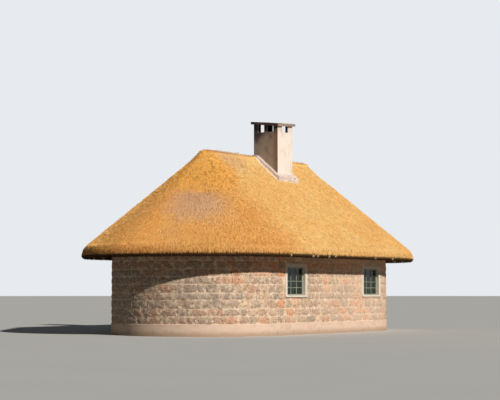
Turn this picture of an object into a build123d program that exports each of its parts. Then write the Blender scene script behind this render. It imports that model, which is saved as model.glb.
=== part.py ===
from build123d import *
import math
import os

# Thatched stone hut with a straight front and back and half-round ends.
# Millimetres, +Z up, origin on the ground at the middle of the plan.
# +X runs along the ridge, the front with the two windows faces -Y.

# Plan and walls
STRAIGHT = 6800.0
WALL_RADIUS = 3350.0
WALL_THICKNESS = 300.0
PLINTH_HEIGHT = 420.0
PLINTH_STEP = 30.0
PLINTH_CHAMFER = 12.0
CORNER_TURN = 12.0
END_PARTS = 3

# Roof
ROOF_PITCH = 39.7
EAVE_OVERHANG = 1215.0
EAVE_HEIGHT = 2963.0
THATCH_DEPTH = 310.0
EAVE_CUT = 62.0
EAVE_TOP_EASE = 150.0
EAVE_LOW_EASE = 90.0
FACETS_PER_POLE = 2
RIDGE_ROUND = 150.0
RIDGE_HALF = 420.0
RIDGE_PROUD = 40.0
RIDGE_FACETS = 2

# Roof poles, hewn to a polygon
POLE_DIAMETER = 100.0
POLE_SIDES = 10
POLE_FLAT = 10.0
POLE_SPACING = 700.0
POLE_TUCK = 150.0
POLE_CLEARANCE = 10.0
RIDGE_POLE_DIAMETER = 170.0
BOSS_HEIGHT = 200.0
BOSS_BITE = 12.0
PLATE_WIDTH = 150.0
PLATE_NOTCH = 25.0

# Chimney
STACK_LEFT = 30.0
STACK_FRONT = -985.0
STACK_WIDTH = 1050.0
STACK_DEPTH = 1095.0
STACK_WALL = 130.0
STACK_TOP = 7995.0
CAP_RISE_TO_BACK = 6.7
CAP_RISE_TO_RIGHT = 4.4
CAP_THICKNESS = 100.0
CAP_OVERHANG = 90.0
CAP_EASE = 15.0
VENT_SILL = 7690.0
SIDE_VENT_WIDTH = 280.0
SIDE_VENT_PITCH = 425.0
FRONT_VENT_WIDTH = 450.0
HEARTH_WIDTH = 640.0
HEARTH_HEIGHT = 800.0
FLAUNCH_WIDTH = 190.0
FLAUNCH_DEPTH = 105.0

# Windows
WINDOW_WIDTH = 1200.0
WINDOW_HEIGHT = 1000.0
WINDOW_SILL = 995.0
WINDOW_LEFT_X = -2420.0
WINDOW_RIGHT_X = 3055.0
SURROUND_BAND = 130.0
SURROUND_PROUD = 22.0
SURROUND_SUNK = 40.0
LINING = 25.0
LINING_DEPTH = 150.0
WINDOW_RECESS = 95.0
FRAME_FACE = 40.0
FRAME_DEPTH = 45.0
GLASS = 6.0
SILL_HEIGHT = 70.0
SILL_PROUD = 60.0
SILL_FALL = 20.0

# Back door
DOOR_WIDTH = 900.0
DOOR_HEIGHT = 2050.0
DOOR_FRAME_FACE = 60.0
DOOR_FRAME_DEPTH = 110.0
DOOR_LEAF = 45.0
DOOR_RECESS = 60.0
DOOR_GAP = 3.0
STEP_GOING = 300.0
STEP_WIDTH = 1300.0

# Values worked out from the sizes above
HALF = STRAIGHT / 2
SLOPE = math.tan(math.radians(ROOF_PITCH))
COS_PITCH = math.cos(math.radians(ROOF_PITCH))
SIN_PITCH = math.sin(math.radians(ROOF_PITCH))
EAVE_RADIUS = WALL_RADIUS + EAVE_OVERHANG
APEX = EAVE_HEIGHT + SLOPE * EAVE_RADIUS
INNER_APEX = APEX - THATCH_DEPTH / COS_PITCH
WALL_MIDDLE = WALL_RADIUS - WALL_THICKNESS / 2
FLOOR = PLINTH_HEIGHT
EAVE_LOW_RADIUS = EAVE_RADIUS - THATCH_DEPTH / COS_PITCH / (SLOPE + math.tan(math.radians(EAVE_CUT)))
POLE_UNDERSIDE = (POLE_DIAMETER - POLE_FLAT) / COS_PITCH
PLATE_TOP = INNER_APEX - SLOPE * WALL_MIDDLE - POLE_UNDERSIDE + PLATE_NOTCH
WALL_TOP = INNER_APEX - SLOPE * WALL_RADIUS - POLE_UNDERSIDE - POLE_CLEARANCE
END_POLES = 2 * round(math.pi * WALL_RADIUS / POLE_SPACING / 2)
END_POLE_STEP = 180.0 / END_POLES
FACET_STEP = END_POLE_STEP / FACETS_PER_POLE
LONG_POLE_START = POLE_DIAMETER / 2 / math.sin(math.radians(END_POLE_STEP)) + POLE_CLEARANCE
SHORT_POLE_START = POLE_DIAMETER / 2 / math.sin(math.radians(END_POLE_STEP / 2)) + POLE_CLEARANCE
BOSS_RADIUS = LONG_POLE_START + BOSS_BITE
BOSS_TOP = INNER_APEX - SLOPE * BOSS_RADIUS - BOSS_BITE


def outer_height(radius, lift=0.0):
    """Height of the thatch's outer face, lifted square to the slope."""
    return APEX + lift / COS_PITCH - SLOPE * radius


def inner_height(radius):
    return INNER_APEX - SLOPE * radius


def upright(face):
    """Stand a (radius, height) face up so that its radius points to -Y."""
    return Rot(0, 0, -90) * (Plane.XZ * face)


def half_turn(face, side, start=-90.0, sweep=180.0):
    """Revolve a (radius, height) face about one end's centre line."""
    turned = Rot(0, 0, start + 90.0) * upright(face)
    spun = revolve(turned, axis=Axis.Z, revolution_arc=sweep)
    if side < 0:
        spun = Rot(0, 0, 180) * spun
    return Pos(side * HALF, 0, 0) * spun


def straight_run(face):
    return Pos(-HALF, 0, 0) * extrude(upright(face), amount=STRAIGHT, dir=(1, 0, 0))


def round_plan(face):
    """Carry one profile round the plan as four pieces."""
    front = straight_run(face)
    return {
        "front": front,
        "back": Rot(0, 0, 180) * front,
        "right_end": half_turn(face, 1),
        "left_end": half_turn(face, -1),
    }


def rectangle_face(low_r, high_r, low_z, high_z):
    corners = [(low_r, low_z), (high_r, low_z), (high_r, high_z), (low_r, high_z)]
    return make_face(Polyline(*corners, close=True))


def block(x0, x1, y0, y1, z0, z1):
    return Pos(x0, y0, z0) * Box(x1 - x0, y1 - y0, z1 - z0, align=(Align.MIN,) * 3)


def floor_base():
    face = rectangle_face(0, WALL_RADIUS - WALL_THICKNESS, 0, FLOOR)
    runs = round_plan(face)
    return runs["front"] + runs["back"] + runs["left_end"] + runs["right_end"]


def plinth_face():
    inner = WALL_RADIUS - WALL_THICKNESS
    outer = WALL_RADIUS + PLINTH_STEP
    return make_face(
        Polyline(
            (inner, 0),
            (outer, 0),
            (outer, PLINTH_HEIGHT - PLINTH_CHAMFER),
            (outer - PLINTH_CHAMFER, PLINTH_HEIGHT),
            (inner, PLINTH_HEIGHT),
            close=True,
        )
    )


def wall_face():
    return rectangle_face(WALL_RADIUS - WALL_THICKNESS, WALL_RADIUS, FLOOR, WALL_TOP)


def long_wall():
    """Front wall: the straight run with a little of each round corner."""
    face = wall_face()
    right = half_turn(face, 1, -90.0, CORNER_TURN)
    left = half_turn(face, -1, 90.0 - CORNER_TURN, CORNER_TURN)
    return straight_run(face) + right + left


def end_walls(side):
    """The round end of the wall in equal parts, front to back on the right."""
    sweep = (180.0 - 2 * CORNER_TURN) / END_PARTS
    face = wall_face()
    return [half_turn(face, side, -90.0 + CORNER_TURN + i * sweep, sweep) for i in range(END_PARTS)]


# Windows and the back door are built on the front face and turned for the back.


def window_places(turn):
    """Window centres on a front, or on the back when turned half round."""
    if turn:
        return [Rot(0, 0, 180) * Pos(-x, 0, 0) for x in (WINDOW_LEFT_X, WINDOW_RIGHT_X)]
    return [Pos(x, 0, 0) for x in (WINDOW_LEFT_X, WINDOW_RIGHT_X)]


def front_block(half_width, z0, z1, from_face, to_face):
    """A block centred on x = 0, given by depths behind the wall's front face."""
    return block(-half_width, half_width, -WALL_RADIUS + from_face, -WALL_RADIUS + to_face, z0, z1)


def window_levels():
    low = FLOOR + WINDOW_SILL
    return low, low + WINDOW_HEIGHT


def window_void():
    low, high = window_levels()
    half = WINDOW_WIDTH / 2 + LINING
    through = front_block(half, low - LINING, high + LINING, -SURROUND_PROUD, WALL_THICKNESS)
    band = WINDOW_WIDTH / 2 + SURROUND_BAND
    sunk = front_block(band, low - SILL_HEIGHT, high + SURROUND_BAND, -SURROUND_PROUD, SURROUND_SUNK)
    return through + sunk


def window_surround():
    """Plaster band on the face with its lining in the reveal."""
    low, high = window_levels()
    band = WINDOW_WIDTH / 2 + SURROUND_BAND
    lined = WINDOW_WIDTH / 2 + LINING
    plate = front_block(band, low, high + SURROUND_BAND, -SURROUND_PROUD, SURROUND_SUNK)
    lining = front_block(lined, low - LINING, high + LINING, SURROUND_SUNK, LINING_DEPTH)
    opening = front_block(WINDOW_WIDTH / 2, low, high, -SURROUND_PROUD, WALL_THICKNESS)
    return plate + lining - opening


def sill_body():
    low = window_levels()[0]
    band = WINDOW_WIDTH / 2 + SURROUND_BAND
    top_back = -WALL_RADIUS + SURROUND_SUNK
    nose = -WALL_RADIUS - SILL_PROUD
    side = Polyline(
        (nose, low - SILL_HEIGHT),
        (top_back, low - SILL_HEIGHT),
        (top_back, low),
        (-WALL_RADIUS - SURROUND_PROUD, low),
        (nose, low - SILL_FALL),
        close=True,
    )
    return Pos(-band, 0, 0) * extrude(Plane.YZ * make_face(side), amount=2 * band, dir=(1, 0, 0))


def window_frame():
    low, high = window_levels()
    half = WINDOW_WIDTH / 2
    back = WINDOW_RECESS + FRAME_DEPTH
    ring = front_block(half, low, high, WINDOW_RECESS, back)
    light = front_block(half - FRAME_FACE, low + FRAME_FACE, high - FRAME_FACE, WINDOW_RECESS, back)
    return ring - light


def window_glass():
    low, high = window_levels()
    half = WINDOW_WIDTH / 2 - FRAME_FACE
    middle = WINDOW_RECESS + FRAME_DEPTH / 2
    return front_block(half, low + FRAME_FACE, high - FRAME_FACE, middle - GLASS / 2, middle + GLASS / 2)


def at_windows(solid, turn):
    return [place * solid for place in window_places(turn)]


# Back door, built on the front face at x = 0 and turned half round


def door_void():
    return front_block(DOOR_WIDTH / 2, FLOOR, FLOOR + DOOR_HEIGHT, 0, WALL_THICKNESS)


def door_band_void():
    band = DOOR_WIDTH / 2 + SURROUND_BAND
    return front_block(band, FLOOR, FLOOR + DOOR_HEIGHT + SURROUND_BAND, -SURROUND_PROUD, SURROUND_SUNK)


def door_surround():
    return door_band_void() - front_block(
        DOOR_WIDTH / 2, FLOOR, FLOOR + DOOR_HEIGHT, -SURROUND_PROUD, SURROUND_SUNK
    )


def door_frame():
    back = DOOR_RECESS + DOOR_FRAME_DEPTH
    whole = front_block(DOOR_WIDTH / 2, FLOOR, FLOOR + DOOR_HEIGHT, DOOR_RECESS, back)
    inside = DOOR_WIDTH / 2 - DOOR_FRAME_FACE
    top = FLOOR + DOOR_HEIGHT - DOOR_FRAME_FACE
    return whole - front_block(inside, FLOOR, top, DOOR_RECESS, back)


def door_leaf():
    half = DOOR_WIDTH / 2 - DOOR_FRAME_FACE
    top = FLOOR + DOOR_HEIGHT - DOOR_FRAME_FACE
    start = DOOR_RECESS + DOOR_GAP
    return front_block(half, FLOOR, top, start, start + DOOR_LEAF)


def door_steps():
    """Two stone treads up to the door's threshold."""
    face = -WALL_RADIUS - PLINTH_STEP
    rise = FLOOR / 3
    side = Polyline(
        (face, 0),
        (face, 2 * rise),
        (face - STEP_GOING, 2 * rise),
        (face - STEP_GOING, rise),
        (face - 2 * STEP_GOING, rise),
        (face - 2 * STEP_GOING, 0),
        close=True,
    )
    run = extrude(Plane.YZ * make_face(side), amount=STEP_WIDTH, dir=(1, 0, 0))
    return Pos(-STEP_WIDTH / 2, 0, 0) * run


def turned(solid):
    return Rot(0, 0, 180) * solid


def cut_windows(wall, turn):
    for void in at_windows(window_void(), turn):
        wall = wall - void
    return wall


def back_wall_parts():
    wall = cut_windows(turned(long_wall()), True)
    wall = wall - turned(door_band_void()) - turned(door_void())
    reach = HALF + WALL_RADIUS
    half = DOOR_WIDTH / 2
    above = block(-half, half, 0, reach, FLOOR + DOOR_HEIGHT, WALL_TOP)
    left = block(-reach, -half, 0, reach, FLOOR, WALL_TOP)
    right = block(half, reach, 0, reach, FLOOR, WALL_TOP)
    return wall & left, wall & right, wall & above


# Roof


def plate_face():
    return rectangle_face(
        WALL_MIDDLE - PLATE_WIDTH / 2, WALL_MIDDLE + PLATE_WIDTH / 2, WALL_TOP, PLATE_TOP
    )


def thatch_face():
    """Section of the thatch coat: parallel faces and a thick, eased eave."""
    cos_cut = math.cos(math.radians(EAVE_CUT))
    sin_cut = math.sin(math.radians(EAVE_CUT))
    low_height = inner_height(EAVE_LOW_RADIUS)
    points = [
        (RIDGE_HALF, inner_height(RIDGE_HALF)),
        (EAVE_LOW_RADIUS - EAVE_LOW_EASE * COS_PITCH, low_height + EAVE_LOW_EASE * SIN_PITCH),
        (EAVE_LOW_RADIUS + EAVE_LOW_EASE * cos_cut, low_height + EAVE_LOW_EASE * sin_cut),
        (EAVE_RADIUS - EAVE_TOP_EASE * cos_cut, EAVE_HEIGHT - EAVE_TOP_EASE * sin_cut),
        (EAVE_RADIUS - EAVE_TOP_EASE * COS_PITCH, EAVE_HEIGHT + EAVE_TOP_EASE * SIN_PITCH),
        (RIDGE_HALF, outer_height(RIDGE_HALF)),
    ]
    return make_face(Polyline(*points, close=True))


def facet_turns():
    """Turns of the edges between the flat facets of a round end."""
    edges = [FACET_STEP * (i + 0.5) for i in range(round(180.0 / FACET_STEP))]
    return [0.0] + edges + [180.0]


def at_end(solid, side):
    if side < 0:
        solid = turned(solid)
    return Pos(side * HALF, 0, 0) * solid


def faceted_turn(face, side):
    """Carry a (radius, height) face round one end in flat facets."""
    return at_end(loft([Rot(0, 0, t) * upright(face) for t in facet_turns()], ruled=True), side)


def end_disc(radius, height):
    turns = [math.radians(t) for t in facet_turns()]
    points = [(radius * math.sin(t), -radius * math.cos(t), height) for t in turns]
    return make_face(Polyline(*points, close=True))


def end_dome(profile, side):
    """Faceted bands through a (radius, height) profile that closes on the axis."""
    rings = [end_disc(r, z) for r, z in profile[:-1]] + [Vertex(0, 0, profile[-1][1])]
    bands = [loft([low, high], ruled=True) for low, high in zip(rings, rings[1:])]
    dome = bands[0]
    for band in bands[1:]:
        dome = dome + band
    return at_end(dome, side)


def faceted_plan(face):
    """Carry one profile round the plan as four pieces, faceted at the round ends."""
    front = straight_run(face)
    return {
        "front": front,
        "back": turned(front),
        "right_end": faceted_turn(face, 1),
        "left_end": faceted_turn(face, -1),
    }


def ridge_outline(half_width, lift, floor_height):
    """Half section under the outer face, rounded over at the ridge in facets."""
    radius = RIDGE_ROUND + lift
    centre = APEX - RIDGE_ROUND / COS_PITCH
    turns = [math.radians(ROOF_PITCH * i / RIDGE_FACETS) for i in range(RIDGE_FACETS, -1, -1)]
    crown = [(radius * math.sin(t), centre + radius * math.cos(t)) for t in turns]
    return [(half_width, floor_height), (half_width, outer_height(half_width, lift))] + crown


def under_outline(outline, floor_height):
    return make_face(Polyline((0, floor_height), *outline, close=True))


def ridge_thatch():
    """Thatch roll along the ridge and over both apexes, standing proud of the slopes."""
    low = inner_height(RIDGE_HALF)
    outline = ridge_outline(RIDGE_HALF, RIDGE_PROUD, low)
    under = [(RIDGE_HALF, low), (0, INNER_APEX)]
    front = straight_run(under_outline(outline, low)) - straight_run(under_outline(under, low))
    ends = [end_dome(outline, side) - end_dome(under, side) for side in (-1, 1)]
    return front + turned(front) + ends[0] + ends[1]


def pole(start, slope):
    """One pole under the front slope at x = 0, flattened where the thatch lies on it."""
    pitch = math.atan(slope)
    finish = EAVE_LOW_RADIUS - POLE_TUCK
    base = (0, -start, INNER_APEX - slope * start)
    place = Plane(origin=base, x_dir=(1, 0, 0), z_dir=(0, -math.cos(pitch), -math.sin(pitch)))
    flat = POLE_DIAMETER / 2 - POLE_FLAT
    section = Pos(0, -flat) * RegularPolygon(POLE_DIAMETER / 2, POLE_SIDES)
    section = section & Rectangle(POLE_DIAMETER, 2 * POLE_DIAMETER, align=(Align.CENTER, Align.MAX))
    return extrude(place * section, amount=(finish - start) / math.cos(pitch))


def front_poles():
    """Poles of the straight slope, evenly spaced between its two ends."""
    run = STRAIGHT - POLE_DIAMETER
    count = round(run / POLE_SPACING)
    whole = pole(0, SLOPE) & block(-HALF, HALF, -EAVE_RADIUS, 0, 0, APEX)
    return [Pos(-run / 2 + i * run / count, 0, 0) * whole for i in range(count + 1)]


def end_poles(side, first, start):
    """Every other pole of the fan round one end, each under the middle of a facet."""
    slope = SLOPE / math.cos(math.radians(FACET_STEP / 2))
    turns = [i * END_POLE_STEP for i in range(first, END_POLES, 2)]
    return [at_end(Rot(0, 0, t) * pole(start, slope), side) for t in turns]


def boss(side):
    """Hewn drum with a flat for every pole that bears on it."""
    outline = RegularPolygon(BOSS_RADIUS, 2 * END_POLES, major_radius=False, rotation=END_POLE_STEP / 2)
    return Pos(side * HALF, 0, BOSS_TOP - BOSS_HEIGHT) * extrude(outline, amount=BOSS_HEIGHT)


def ridge_pole():
    height = BOSS_TOP - BOSS_BITE + RIDGE_POLE_DIAMETER / 2
    outline = RegularPolygon(RIDGE_POLE_DIAMETER / 2, POLE_SIDES)
    return Pos(-HALF, 0, height) * (Rot(0, 90, 0) * extrude(outline, amount=STRAIGHT))


def seated(poles, cutters):
    """Poles cut to lie against everything that they meet."""
    for cutter in cutters:
        poles = [p - cutter for p in poles]
    return poles


# Chimney


def stack_block(grow=0.0, low=FLOOR, high=STACK_TOP + STACK_DEPTH):
    right = STACK_LEFT + STACK_WIDTH
    back = STACK_FRONT + STACK_DEPTH
    return block(STACK_LEFT - grow, right + grow, STACK_FRONT - grow, back + grow, low, high)


def cap_plane():
    """Bed of the cap slab: it rises to the back and a little to the right."""
    middle = (STACK_LEFT + STACK_WIDTH / 2, STACK_FRONT + STACK_DEPTH / 2, STACK_TOP)
    along = (1, 0, math.tan(math.radians(CAP_RISE_TO_RIGHT)))
    back = math.tan(math.radians(CAP_RISE_TO_BACK))
    normal = (-along[2], -back, 1)
    return Plane(origin=middle, x_dir=along, z_dir=normal)


def chimney_stack():
    body = split(stack_block(), bisect_by=cap_plane(), keep=Keep.BOTTOM)
    body = body - stack_block(grow=-STACK_WALL)
    middle_x = STACK_LEFT + STACK_WIDTH / 2
    middle_y = STACK_FRONT + STACK_DEPTH / 2
    reach = STACK_WIDTH
    high = STACK_TOP + STACK_DEPTH
    half = SIDE_VENT_WIDTH / 2
    for side in (-1, 1):
        y = middle_y + side * SIDE_VENT_PITCH / 2
        body = body - block(middle_x - reach, middle_x + reach, y - half, y + half, VENT_SILL, high)
    half = FRONT_VENT_WIDTH / 2
    body = body - block(middle_x - half, middle_x + half, middle_y - reach, middle_y + reach, VENT_SILL, high)
    half = HEARTH_WIDTH / 2
    hearth = block(middle_x - reach, middle_x, middle_y - half, middle_y + half, FLOOR, FLOOR + HEARTH_HEIGHT)
    return body - hearth


def chimney_cap():
    slab = Box(
        STACK_WIDTH + 2 * CAP_OVERHANG,
        STACK_DEPTH + 2 * CAP_OVERHANG,
        CAP_THICKNESS,
        align=(Align.CENTER, Align.CENTER, Align.MIN),
    )
    return cap_plane() * chamfer(slab.edges().group_by(Axis.Z)[-1], CAP_EASE)


def roof_hull(lift):
    """Filled roof under the outer face along the straight part."""
    outline = ridge_outline(EAVE_RADIUS - THATCH_DEPTH, lift, EAVE_HEIGHT)
    front = straight_run(under_outline(outline, EAVE_HEIGHT))
    return front + turned(front)


def chimney_flaunching():
    """Cement fillet bedded on both slopes round the stack."""
    ring = stack_block(grow=FLAUNCH_WIDTH) - stack_block()
    return (ring & roof_hull(FLAUNCH_DEPTH)) - roof_hull(0) - ridge_thatch()


# Assembly


def save(name, solids):
    if isinstance(solids, (list, tuple)):
        solids = Compound(children=[Compound(s.solids()) for s in solids])
    export_step(solids, "parts/" + name + ".step")


def save_base():
    save("floor_base", floor_base())
    for name, piece in round_plan(plinth_face()).items():
        save("plinth_" + name, piece)
    save("door_steps", turned(door_steps()))


def save_walls():
    save("wall_front", cut_windows(long_wall(), False))
    left, right, above = back_wall_parts()
    save("wall_back_left", left)
    save("wall_back_right", right)
    save("wall_over_door", above)
    for side, name in ((-1, "left"), (1, "right")):
        for i, piece in enumerate(end_walls(side), 1):
            save("wall_" + name + "_end_" + str(i), piece)
    for name, piece in faceted_plan(plate_face()).items():
        save("wall_plate_" + name, piece)


def save_windows():
    for turn, name in ((False, "front"), (True, "back")):
        save("window_surrounds_" + name, at_windows(window_surround(), turn))
        save("window_sills_" + name, at_windows(sill_body(), turn))
        save("window_frames_" + name, at_windows(window_frame(), turn))
        save("window_glass_" + name, at_windows(window_glass(), turn))


def save_door():
    save("door_surround", turned(door_surround()))
    save("door_frame", turned(door_frame()))
    save("door_leaf", turned(door_leaf()))


def save_roof():
    stack = stack_block()
    bosses = [boss(-1), boss(1)]
    ridge = ridge_pole() - stack - bosses[0] - bosses[1]
    slopes = faceted_plan(thatch_face())
    crown = ridge_thatch()
    plates = faceted_plan(plate_face())
    timber = [stack, ridge] + bosses
    save("rafters_front", seated(front_poles(), timber + [plates["front"]]))
    save("rafters_back", seated([turned(p) for p in front_poles()], timber + [plates["back"]]))
    for side, name in ((-1, "left_end"), (1, "right_end")):
        long_poles = seated(end_poles(side, 2, LONG_POLE_START), bosses + [crown, slopes[name]])
        short_poles = seated(end_poles(side, 1, SHORT_POLE_START), [slopes[name]])
        save("rafters_" + name, seated(long_poles + short_poles, [plates[name]]))
    save("ridge_pole", ridge)
    save("apex_bosses", bosses)
    for name, piece in slopes.items():
        save("thatch_" + name, piece - stack)
    save("thatch_ridge", crown - stack)


def save_chimney():
    save("chimney_stack", chimney_stack())
    save("chimney_cap", chimney_cap())
    save("chimney_flaunching", chimney_flaunching())


os.makedirs("parts", exist_ok=True)
save_base()
save_walls()
save_windows()
save_door()
save_roof()
save_chimney()
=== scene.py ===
import math
import random

import bpy
from mathutils import Matrix, Vector


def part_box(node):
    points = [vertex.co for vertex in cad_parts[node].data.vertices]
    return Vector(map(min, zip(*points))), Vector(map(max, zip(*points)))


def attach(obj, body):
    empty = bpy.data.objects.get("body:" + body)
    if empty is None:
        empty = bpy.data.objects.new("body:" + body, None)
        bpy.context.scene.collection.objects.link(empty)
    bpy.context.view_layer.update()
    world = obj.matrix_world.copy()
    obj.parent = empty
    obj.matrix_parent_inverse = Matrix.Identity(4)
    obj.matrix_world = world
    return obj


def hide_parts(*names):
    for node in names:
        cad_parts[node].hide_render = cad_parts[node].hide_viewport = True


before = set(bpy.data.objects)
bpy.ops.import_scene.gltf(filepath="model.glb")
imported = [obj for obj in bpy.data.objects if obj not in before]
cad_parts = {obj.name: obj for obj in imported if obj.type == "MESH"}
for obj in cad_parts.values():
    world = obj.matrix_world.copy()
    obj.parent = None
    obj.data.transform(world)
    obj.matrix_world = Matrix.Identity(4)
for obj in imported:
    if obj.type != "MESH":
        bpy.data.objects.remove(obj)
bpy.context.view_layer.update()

# Metres, in the part's own frame: +X along the ridge, -Y the front, ground at z = 0.

# Sizes read from the frame's nodes
WALL_LOW, WALL_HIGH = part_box("wall_front")
PLINTH_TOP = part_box("plinth_front")[1][2]
HALF_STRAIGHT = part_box("plinth_front")[1][0]
WALL_RADIUS = -WALL_LOW[1]
WALL_TOP = WALL_HIGH[2]
EAVE_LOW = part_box("thatch_front")[0]
EAVE_RADIUS = -EAVE_LOW[1]
THATCH_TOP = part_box("thatch_ridge")[1][2]
SLOPE_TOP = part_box("thatch_front")[1][2]
FRAMES_LOW, FRAMES_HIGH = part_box("window_frames_front")
SILLS_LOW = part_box("window_sills_front")[0]
SURROUND_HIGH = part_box("window_surrounds_front")[1]
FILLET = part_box("chimney_flaunching")

# The face of the walls as one run: straight front and back, half-round ends
ROUND = math.pi * WALL_RADIUS
STRAIGHT = 2 * HALF_STRAIGHT
GIRTH = 2 * STRAIGHT + 2 * ROUND

# Roof: pitch, half width of the rounded ridge, depth of the thatch measured plumb,
# and the room left inside the eave's edge for straws that stand out
SLOPE = math.tan(math.radians(39.7))
RIDGE_HALF = 0.42
APEX = SLOPE_TOP + SLOPE * RIDGE_HALF
THATCH_DROP = 0.403
STRAW_ROOM = 0.005

# Windows: opening, width of the steel frame's face, and the plaster band beside it
WINDOW_WIDTH = 1.2
FRAME_FACE = 0.04
BAND = 0.13
WINDOW_CENTRES = (FRAMES_LOW[0] + WINDOW_WIDTH / 2, FRAMES_HIGH[0] - WINDOW_WIDTH / 2)

# Stones: rise of a course, joint, depth let into the wall, and how far they vary
COURSE = 0.27
JOINT = 0.034
STONE_BED = 0.02
STONE_PROUD = (0.014, 0.030)
STONE_LENGTHS = (0.30, 0.38, 0.46, 0.54, 0.64)
STONE_TILT = 0.04
BED_WANDER = 0.03
SHORTEST_CUT = 0.09
LOWEST_CUT = 0.06
STONE_SHAPES = 8
SEED = 7

# Centres of the patches on the left end of the roof
WEATHERED_SPOT = (-5.6, -1.2, 4.65)
WEATHERED_RIDGE = (-2.3, -0.3, 6.55)
BLEACHED_SPOT = (-5.6, -1.9, 4.2)
NEW_CROWN = (-4.2, -0.6, 5.95)


# Shader and geometry graphs

class Term:
    """One socket of a graph that takes part in Python arithmetic."""

    def __init__(self, graph, socket):
        self.graph = graph
        self.socket = socket

    def maths(self, operation, *values):
        inputs = dict(enumerate(values))
        return self.graph.add("ShaderNodeMath", {"operation": operation}, inputs)

    def __add__(self, other):
        return self.maths("ADD", self, other)

    def __radd__(self, other):
        return self.maths("ADD", other, self)

    def __sub__(self, other):
        return self.maths("SUBTRACT", self, other)

    def __rsub__(self, other):
        return self.maths("SUBTRACT", other, self)

    def __mul__(self, other):
        return self.maths("MULTIPLY", self, other)

    def __neg__(self):
        return self.maths("MULTIPLY", self, -1.0)

    def __abs__(self):
        return self.maths("ABSOLUTE", self)

    def min(self, other):
        return self.maths("MINIMUM", self, other)

    def max(self, other):
        return self.maths("MAXIMUM", self, other)

    def arctan2(self, other):
        return self.maths("ARCTAN2", self, other)

    def step(self, low, high):
        """Smooth step from 0 at low to 1 at high."""
        settings = {"interpolation_type": "SMOOTHSTEP"}
        return self.graph.add("ShaderNodeMapRange", settings, {0: self, 1: low, 2: high})


class Graph:
    """A node tree that is filled from Python expressions."""

    def __init__(self, tree):
        self.tree = tree

    def add(self, kind, settings=None, inputs=None, output=0):
        node = self.tree.nodes.new(kind)
        for name, value in (settings or {}).items():
            if name == "stops":
                self.set_stops(node.color_ramp, value)
            else:
                setattr(node, name, value)
        for key, value in (inputs or {}).items():
            self.feed(node.inputs[key], value)
        return Term(self, node.outputs[output]) if node.outputs else None

    def feed(self, socket, value):
        if isinstance(value, Term):
            self.tree.links.new(value.socket, socket)
        else:
            socket.default_value = value

    def vector_math(self, operation, inputs, output=0):
        return self.add("ShaderNodeVectorMath", {"operation": operation}, inputs, output)

    def random(self, low, high, seed):
        inputs = {2: low, 3: high, 8: seed}
        return self.add("FunctionNodeRandomValue", {"data_type": "FLOAT"}, inputs, 1)

    @staticmethod
    def set_stops(ramp, stops):
        while len(ramp.elements) < len(stops):
            ramp.elements.new(0.5)
        for element, (place, colour) in zip(ramp.elements, stops):
            element.position = place
            element.color = (*colour, 1.0)


def srgb(red, green, blue):
    """A colour as seen on screen, 0 to 255, in the linear values of the shader."""
    def linear(value):
        value = value / 255
        return value / 12.92 if value <= 0.04045 else ((value + 0.055) / 1.055) ** 2.4
    return (linear(red), linear(green), linear(blue))


def opaque(colour):
    """A plain colour with its alpha, or a socket as it is."""
    return colour if isinstance(colour, Term) else (*colour, 1.0)


class Finish(Graph):
    """A material on Object coordinates with colour, roughness and bump."""

    def __init__(self, name):
        self.material = bpy.data.materials.new(name)
        self.material.use_nodes = True
        super().__init__(self.material.node_tree)
        self.shader = self.tree.nodes["Principled BSDF"]
        self.place = self.add("ShaderNodeTexCoord", output="Object")
        self.x = self.axis("X")
        self.y = self.axis("Y")
        self.z = self.axis("Z")

    def axis(self, name):
        return self.add("ShaderNodeSeparateXYZ", inputs={0: self.place}, output=name)

    def vector(self, x, y, z):
        return self.add("ShaderNodeCombineXYZ", inputs={0: x, 1: y, 2: z})

    def noise(self, scale, detail=3.0, rough=0.55, where=None):
        inputs = {"Scale": scale, "Detail": detail, "Roughness": rough}
        inputs["Vector"] = where or self.place
        return self.add("ShaderNodeTexNoise", inputs=inputs)

    def cell_edges(self, scale, where):
        """Distance to the nearest edge of a pattern of cells."""
        settings = {"feature": "DISTANCE_TO_EDGE"}
        inputs = {"Vector": where, "Scale": scale}
        return self.add("ShaderNodeTexVoronoi", settings, inputs, "Distance")

    def ramp(self, value, stops):
        return self.add("ShaderNodeValToRGB", {"stops": stops}, {0: value})

    def mark(self, name):
        """Value that the mesh carries for each point or straw."""
        return self.add("ShaderNodeAttribute", {"attribute_name": name}, output="Fac")

    def mix(self, amount, first, second):
        inputs = {0: amount, 6: opaque(first), 7: opaque(second)}
        return self.add("ShaderNodeMix", {"data_type": "RGBA"}, inputs, 2)

    def near(self, centre, reach, soft=0.5):
        """1 near a point and 0 past its reach, with a ragged edge."""
        offset = self.vector_math("DISTANCE", {0: self.place, 1: centre}, 1)
        ragged = offset + (self.noise(2.2, 4.0) - 0.5) * reach
        return 1.0 - ragged.step(reach * (1 - soft), reach * (1 + soft))

    def finish(self, colour, roughness, bump=None, strength=0.5, distance=0.01, **fixed):
        self.feed(self.shader.inputs["Base Color"], opaque(colour))
        self.feed(self.shader.inputs["Roughness"], roughness)
        for name, value in fixed.items():
            self.shader.inputs[name.replace("_", " ")].default_value = value
        if bump is not None:
            inputs = {"Height": bump, "Strength": strength, "Distance": distance}
            self.feed(self.shader.inputs["Normal"], self.add("ShaderNodeBump", inputs=inputs))
        return self.material


# Materials

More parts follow.
